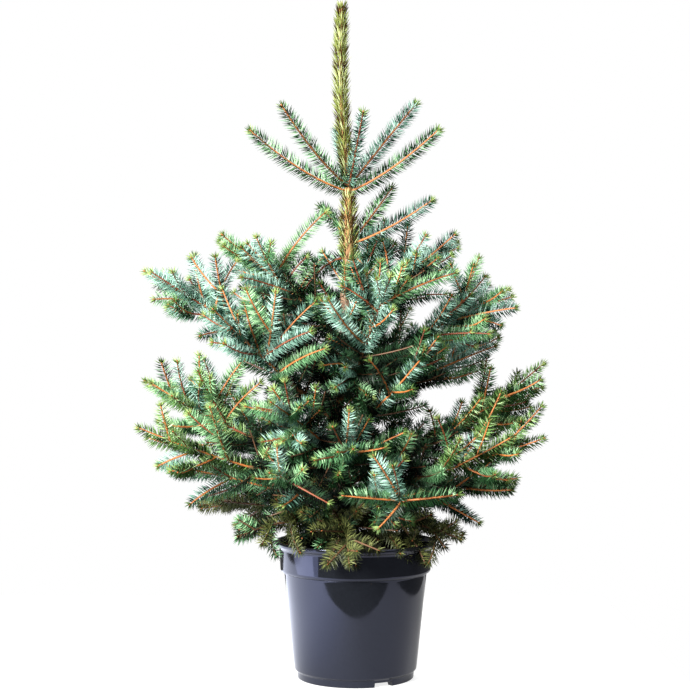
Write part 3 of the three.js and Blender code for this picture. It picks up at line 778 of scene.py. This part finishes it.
def nearest_axis(point):
    """The number of the bough whose axis comes nearest to this point."""
    return int(np.argmin([np.linalg.norm(line - point, axis=1).min() for line in axis_spots]))


def keeps_to_space(curve, own):
    """True if the shoot's outer half lies nearer its own bough's axis than any other's."""
    return all(nearest_axis(point) == own for point in curve.at(np.array([0.6, 1.0]))[0])


def leaves_open(curve):
    """True if the shoot's outer half stays out of the openings in the crown."""
    outer = curve.at(np.array([0.6, 0.8, 1.0]))[0]
    return all(np.hypot(outer[:, 0] - x, outer[:, 2] - z).min() >= radius for x, z, radius in OPENINGS)


def reach_of(curve):
    """How far the curve's tip is from the trunk."""
    tip = curve.points[-1]
    return np.linalg.norm(tip[:2] - trunk_at(tip[2])[0][:2])


FAMILY_SHARES = {
    # each colour family with the chance that it is dealt up to
    "upper": (("blue", 0.6), ("green", 0.96), ("fresh", 1)),
    "middle": (("blue", 0.55), ("green", 0.96), ("fresh", 1)),
    "lower": (("blue", 0.2), ("green", 0.6), ("fresh", 1)),
    "inner": (("blue", 0.3), ("green", 0.8), ("dark", 1)),
    "skirt": (("olive", 0.75), ("green", 0.85), ("dark", 1)),
    "shaded": (("dark", 0.75), ("green", 1)),
    "top": (("blue", 0.45), ("green", 1)),
    "leader": (("leader", 1),),
}
shoots = []


def add_shoot(curve, mass, region, draw, **facts):
    """Notes a shoot, and deals it the family of needle colours and the depth of its spray."""
    chance = draw()
    family = next(name for name, limit in FAMILY_SHARES[region] if chance <= limit)
    outward = min(1, reach_of(curve) / FULL_LIGHT)
    # A shoot that ends near the trunk takes the dark family: painted shade inside the crown.
    if outward < IN_SHADE and region in ("middle", "lower", "inner"):
        family = "dark"
    # The further out a shoot ends, the more often its spray is dealt a pale tone; nearer the trunk the
    # deeper tones stand for painted shade.
    chance = draw()
    depth = 2
    if chance < 0.4 + 0.5 * outward or outward > IN_LIGHT:
        depth = 1
    if chance < 0.1 + 0.6 * outward ** 2:
        depth = 0
    if region == "top":
        depth = 1
    depth = facts.pop("depth", depth)
    # Low on the right, sprays take at least the middle tone: painted shade cast by the tiers above.
    if region in ("lower", "inner") and curve.points[-1][0] > SHADED_SIDE_FROM:
        depth = max(depth, 1)
    shoots.append({"curve": curve, "mass": mass, "region": region, "family": family, "depth": depth,
                   "twig": 1, "bare": 0, "needle": NEEDLE_LENGTH, "per_mm": NEEDLES_PER_MM, **facts})


for own, ((name, tier, at, *_), axis) in enumerate(zip(BOUGHS, axes)):
    facts = TIERS[tier]
    limb, lift, mass = facts["limb"], facts["lift"], f"needles_{name}"
    draw, finer, by_hand = seeded(own + 1), seeded(own + 101), seeded(own + 201)
    add_shoot(axis, mass, tier, finer, bare=limb or STEM_BARE_TO, twig=1.3)
    first = limb + BARE_PAST_LIMB if limb else BARE_FROM_TRUNK
    sides = []
    for k in range(facts["shoots"]):
        place = k / (facts["shoots"] - 1)
        roll = GOLDEN_TURN * k + ROLL_PLAY * (draw() - 0.5)
        spread = SPREAD + SPREAD_PLAY * (draw() - 0.5)
        length = facts["side"] * (1 - OUTER_SHORTER * place) * (SHORTEST + LENGTH_PLAY * draw())
        sides.append((first + (LAST_SHOOT - first) * place, roll, spread, length, lift))
    for k, (share, *way) in enumerate(PLACED_SHOOTS.get(name, ())):
        (root, *_), (along, *_) = axis.at(np.array([share]))
        way = np.array(way, dtype=float)
        curve = bent(root, root + way / 2 + along * 0.1 * np.linalg.norm(way), root + way)
        add_shoot(curve, mass, tier, by_hand, depth=k % 2)
    for share, size, rolls in WHORLS:
        for roll in rolls:
            roll = -roll if tier == "lower" else roll
            length = axis.length * size * (FINER_SHORTEST + FINER_PLAY * finer())
            turn_up = lift * (1.3 * finer() - 0.4)
            share_here = share + 0.02 * finer()
            roll += ROLL_PLAY * (finer() - 0.5)
            sides.append((share_here, roll, WHORL_SPREAD, length, turn_up))
    for k, (share, roll, spread, length, turn_up) in enumerate(sides):
        side = side_curve(axis, share, roll, spread, length, turn_up)
        # Where shoots are placed one by one, the whorls fill only the back.
        in_whorl = k >= facts["shoots"]
        if in_whorl and name in PLACED_SHOOTS and side.points[-1][1] < side.points[0][1]:
            continue
        if reach_of(side) > reach_of(axis) - SHORT_OF_TIP:
            length *= SHORTENED
            side = side_curve(axis, share, roll, spread, length, turn_up)
        if not (keeps_to_space(side, own) and leaves_open(side)):
            continue
        add_shoot(side, mass, tier, finer)
        for fork in range(2 if length > FORKED_FROM else 0):
            size = length * FORK_SHARE * (FINER_SHORTEST + FINER_PLAY * finer())
            roll = 180 * fork + 50 * (finer() - 0.5)
            twig = side_curve(side, FORK_AT + 0.08 * fork, roll, FORK_SPREAD, size, lift)
            inside = keeps_to_space(twig, own) and reach_of(twig) < reach_of(axis) - SHORT_OF_TIP
            if inside and leaves_open(twig):
                add_shoot(twig, mass, tier, finer, twig=0.85)
    shaded = SHADED_ON_A_LIMB if limb else SHADED_ON_A_STEM
    for k in range(shaded):
        share = (0.2 + 0.8 * (k + 0.5) / shaded) * (limb or STEM_SHADED_TO)
        roll = GOLDEN_TURN * k + 30 * finer()
        twig = side_curve(axis, share, roll, SHADED_SPREAD, 65 + 45 * finer(), 0.1)
        if leaves_open(twig):
            add_shoot(twig, mass, "skirt" if tier == "skirt" else "shaded", finer, twig=0.7)

TOP_SHOOTS = [
    # name, height on the trunk, direction, reach, height of the tip, pitch at the trunk
    ("top_left", 872, 184, 176, 980, 16),
    ("top_left_front", 882, 214, 140, 1014, 29),
    ("top_front", 876, -75, 98, 1000, 50),
    ("top_right", 879, 12, 126, 1034, 52),
    ("top_right_front", 871, -12, 164, 979, 20),
    ("top_back", 877, 98, 150, 1004, 42),
    ("middle_right_upper", 776, 24, 86, 882, 48),
    ("middle_right", 776, -8, 150, 854, 17),
    ("middle_back", 778, 118, 112, 852, 44),
    ("middle_left", 752, 186, 84, 690, 10),
]
draw = seeded(400)
for name, *numbers in TOP_SHOOTS:
    add_shoot(bough_axis(*numbers), f"shoot_{name}", "top", draw,
              twig=1.1, bare=0.03, per_mm=1.9, needle=23)
leader = Curve(trunk_at(np.linspace(890, 1204, 61))[0])
add_shoot(leader, "leader_needles", "leader", draw, twig=0, per_mm=3.0, needle=26)
upper_stem = Curve(trunk_at(np.linspace(742, 866, 61))[0])
add_shoot(upper_stem, "upper_stem_needles", "leader", draw, twig=0, per_mm=2.7, needle=24)

# Short shoots spring straight from the trunk, flatter in the shade and steeper and shorter above it.
draw = seeded(500)
for k in range(TRUNK_SHOOTS):
    root = trunk_at(TRUNK_SHOOTS_FROM + TRUNK_SHOOTS_APART * k)[0]
    turn = math.radians(GOLDEN_TURN * k)
    in_shade = k < TRUNK_SHOOTS_IN_SHADE
    steepness = 0.5 if in_shade else 1.1
    reach = np.array((math.cos(turn), math.sin(turn), steepness + 0.3 * draw())) * (60 + 45 * draw())
    reach *= 1 if in_shade else 0.62
    curve = bent(root, root + reach * 0.5, root + reach + UP * 6)
    mass = f"needles_{BOUGHS[nearest_axis(root + reach)][0]}"
    if leaves_open(curve):
        add_shoot(curve, mass, "shaded" if in_shade else "upper", draw, twig=0.7)

PIECES = {
    "top": [f"shoot_{name}" for name, *_ in TOP_SHOOTS],
    "leader": ["leader_needles", "upper_stem_needles"],
    "upper": [], "middle_left": [], "middle_right": [], "lower_left": [], "lower_right": [],
    "inner_left": [], "inner_right": [], "skirt": [],
}
for name, tier, at, turn, *_ in BOUGHS:
    side = "left" if 90 < turn % 360 < 270 else "right"
    PIECES[tier if tier in ("upper", "skirt") else f"{tier}_{side}"].append(f"needles_{name}")

# Twigs of the last two years: smooth hairless skin with a slight gloss, orange or red brown.
twig_skins = []
for name, colour in (("orange_twig_skin", "#bb7039"), ("red_twig_skin", "#864426"),
                     ("shaded_twig_skin", "#6a4a33")):
    skin, shader, _ = new_material(name)
    feed(shader, {"Base Color": linear(colour), "Roughness": 0.5})
    twig_skins.append(skin)

twig_parts, twig_shades = [], []
for number, shoot in enumerate(shoots):
    if not shoot["twig"]:
        continue
    thick = TWIG_RADIUS * shoot["twig"]
    points, faces, _ = tube(
        shoot["curve"], 0, 1, lambda s: thick + (TWIG_TIP_RADIUS - thick) * s, TWIG_SIDES, TWIG_STEP)
    twig_parts.append((points, faces))
    skin_number = 1 if number % 10 in (2, 5, 8) else 0
    if shoot["region"] in ("skirt", "shaded"):
        skin_number = 2
    twig_shades.append(np.full(len(faces), skin_number))
twigs = mesh_piece("twigs", *joined(twig_parts), twig_skins, np.concatenate(twig_shades), smooth=True)
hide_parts(*[mass for masses in PIECES.values() for mass in masses])
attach(twigs, "root")

# ----------------------------------------------------------------------
# Needles: stiff and slim, 20 mm long, in two combs that part along the twig's level sides and close
# to a tuft round its bud. A waxy bloom makes most of them pale blue green, and the old ones in the
# shade are plain dark green, partly their own colour and partly painted shade. Each colour comes in
# a light, a middle and a deep tone, dealt partly at random and partly as painted light and painted
# shade by where a spray sits.

NEEDLE_WIDTH = 2.15
NEEDLE_WIDEST = 0.36
NEEDLE_BOW = 0.04
NEEDLE_SIDES = (1.57, 3.67, 5.76)
NEEDLE_CORNERS = np.array([(0, 2, 1), (0, 3, 2), (0, 1, 3), (4, 1, 2), (4, 2, 3), (4, 3, 1)])
NEEDLES_IN_A_RING = 6
SWING = 66
SWING_ON_LEADER = 36
CLOSING = 18
CLOSING_ON_LEADER = 6
SHORTER_AT_TIP = 0.36
PARTING = 32
TUFT_NEEDLES = 8
TUFT_FROM = 0.97
YOUNG_FROM = 0.96
# needles pointing further down than this take a deeper tone: painted shade
HANGING = -0.45
FAMILIES = {
    # light, middle and deep sprays: one colour with painted light and painted shade
    "blue": ("#a9cfc1", "#679180", "#1d392c"),
    "green": ("#9dc998", "#57895b", "#19361c"),
    "fresh": ("#a6c78b", "#678e4c", "#263e18"),
    "olive": ("#747b45", "#3f4722", "#171b0c"),
    # old needles' plain green, dealt inside the crown as painted shade
    "dark": ("#345839", "#1a3220", "#09130c"),
    "leader": ("#c3cf90", "#86934c", "#46371a"),
    "tip": ("#98b06a", "#688545", "#3a5628"),
}
needle_skins, skin_numbers = [], {}
for family, colours in FAMILIES.items():
    skin_numbers[family] = len(needle_skins)
    for depth, colour in zip(("light", "middle", "deep"), colours):
        # Waxy leaf skin: a soft sheen, little of it on the deep tones whose darker colour is painted shade,
        # and no pattern that shows at this size.
        skin, shader, _ = new_material(f"{family}_needle_skin_{depth}")
        feed(shader, {"Base Color": linear(colour), "Roughness": 0.5,
                      "Specular IOR Level": 0.1 if depth == "deep" else 0.35})
        needle_skins.append(skin)


def needles_on(shoot, number):
    """Points, faces and skins of one shoot's needles, each a slim spindle that bows outwards."""
    curve, bare = shoot["curve"], shoot["bare"]
    hugging = shoot["family"] == "leader"
    opening, closing = (SWING_ON_LEADER, CLOSING_ON_LEADER) if hugging else (SWING, CLOSING)
    random = np.random.default_rng(number)
    rings = max(3, round(curve.length * (1 - bare) * shoot["per_mm"] / NEEDLES_IN_A_RING))
    along = rings * NEEDLES_IN_A_RING
    share = (np.arange(along) // NEEDLES_IN_A_RING + 0.5 + random.normal(0, 0.07, along)) / rings
    share = np.clip(np.concatenate([share, np.linspace(TUFT_FROM, 1, TUFT_NEEDLES)]), 0, 1)
    count = len(share)
    in_tuft = np.arange(count) >= along
    places, ways = curve.at(bare + (1 - bare) * share)
    level, lift = across(ways)
    roll = (GOLDEN_TURN * np.arange(count) + random.normal(0, 6, count)) % 360
    if not hugging:
        parting = PARTING * (1 - share ** 10)
        roll = roll // 180 * 180 + parting + roll % 180 * (180 - 2 * parting) / 180
        roll += random.normal(0, 13)
    angle = np.radians(roll)
    out = np.cos(angle)[:, None] * level + np.sin(angle)[:, None] * lift
    swing = opening - closing * share ** 8 + random.normal(0, 3.5, count)
    swing = np.radians(np.where(in_tuft, random.uniform(12, 44, count), swing))
    way = np.cos(swing)[:, None] * ways + np.sin(swing)[:, None] * out
    bow = np.sin(swing)[:, None] * ways - np.cos(swing)[:, None] * out
    length = shoot["needle"] * np.minimum(1, 0.75 + share * 3) * (1 - SHORTER_AT_TIP * share ** 10)
    length *= random.uniform(0.86, 1.06, count)
    if hugging:
        places = places + out * (trunk_at(places[:, 2])[1] * 0.85)[:, None]
    side = np.cross(way, bow)
    middle = places + way * (length * NEEDLE_WIDEST)[:, None] - bow * (length * NEEDLE_BOW)[:, None]
    rims = [middle + NEEDLE_WIDTH / 2 * (math.cos(a) * side + math.sin(a) * bow)
            for a in NEEDLE_SIDES]
    points = np.stack([places, *rims, places + way * length[:, None]], axis=1)
    faces = np.arange(count)[:, None, None] * 5 + NEEDLE_CORNERS
    ring = np.arange(count) // NEEDLES_IN_A_RING
    # Each ring of needles differs in tone at random, and needles that point down take the next deeper tone:
    # painted shade under the spray.
    ring_depth = random.choice((-1, 0, 0, 1, 1), count)[ring]
    depth = np.clip(shoot["depth"] + np.where(way[:, 2] < HANGING, 1, ring_depth), 0, 2)
    skins = skin_numbers[shoot["family"]] + depth
    if shoot["region"] not in ("shaded", "skirt", "leader"):
        skins = np.where(share > YOUNG_FROM, skin_numbers["tip"] + depth, skins)
    return points.reshape(-1, 3), faces.reshape(-1, 3), np.repeat(skins, 6)


for group, masses in PIECES.items():
    parts = [needles_on(shoot, number) for number, shoot in enumerate(shoots) if shoot["mass"] in masses]
    skins = np.concatenate([part_skins for *_, part_skins in parts])
    spray = mesh_piece(f"needles_of_{group}", *joined(parts), needle_skins, skins)
    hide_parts(*masses)
    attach(spray, "root")

# ----------------------------------------------------------------------
# Buds: one at each twig's tip, and a crown of them round the leader's. Each is a blunt cone of papery
# orange-brown scales.

BUD_LENGTH = 6
BUD_RADIUS = 2.0
BUD_SIDES = 6
BUD_OUTLINE = ((0.0, 0.5), (0.35, 1.0), (0.75, 0.7))
CROWN_HEIGHT = 1200
CROWN_LEAN = 0.9
CROWN_BUDS = (
    # turn round the leader, height from the crown, size
    (0, 0, 1.3), (72, -6, 1), (144, -9, 1), (216, -5, 1), (288, -10, 1),
    (30, -34, 0.9), (150, -40, 0.9), (260, -46, 0.9),
)


def bud_at(place, way, size):
    """Points and three-sided faces of one bud."""
    way = way / np.linalg.norm(way)
    level, lift = across(way[None])
    angles = np.arange(BUD_SIDES) / BUD_SIDES * 2 * math.pi
    rim = np.cos(angles)[:, None] * level + np.sin(angles)[:, None] * lift
    rings = [place + way * BUD_LENGTH * size * z + rim * BUD_RADIUS * size * r for z, r in BUD_OUTLINE]
    points = np.concatenate([*rings, [place + way * BUD_LENGTH * size]])
    faces = []
    for ring in range(len(BUD_OUTLINE) - 1):
        for k in range(BUD_SIDES):
            a, b = ring * BUD_SIDES + k, ring * BUD_SIDES + (k + 1) % BUD_SIDES
            faces += [(a, a + BUD_SIDES, b), (b, a + BUD_SIDES, b + BUD_SIDES)]
    last = (len(BUD_OUTLINE) - 1) * BUD_SIDES
    faces += [(last + k, len(points) - 1, last + (k + 1) % BUD_SIDES) for k in range(BUD_SIDES)]
    return points, np.array(faces)


buds = []
for shoot in shoots:
    if shoot["twig"] and shoot["region"] != "shaded":
        place, way = (value[0] for value in shoot["curve"].at(np.array([1.0])))
        buds.append(bud_at(place - way, way, 0.8 if shoot["region"] == "skirt" else 1))
crown = trunk_at(CROWN_HEIGHT)[0]
for k, (turn, rise, size) in enumerate(CROWN_BUDS):
    lean = CROWN_LEAN if k else 0
    aside = np.array((math.cos(math.radians(turn)), math.sin(math.radians(turn)), 0)) * lean
    buds.append(bud_at(crown + UP * rise + aside * 2.5, UP + aside, size))

# Bud scales: dry, papery and matt, and lighter than the twig.
scales, shader, _ = new_material("papery_bud_scales")
feed(shader, {"Base Color": linear("#a0552b"), "Roughness": 0.6})
bud_piece = mesh_piece("buds", *joined(buds), [scales], smooth=True)
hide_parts(*[mass for masses in PIECES.values() for mass in masses])
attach(bud_piece, "root")
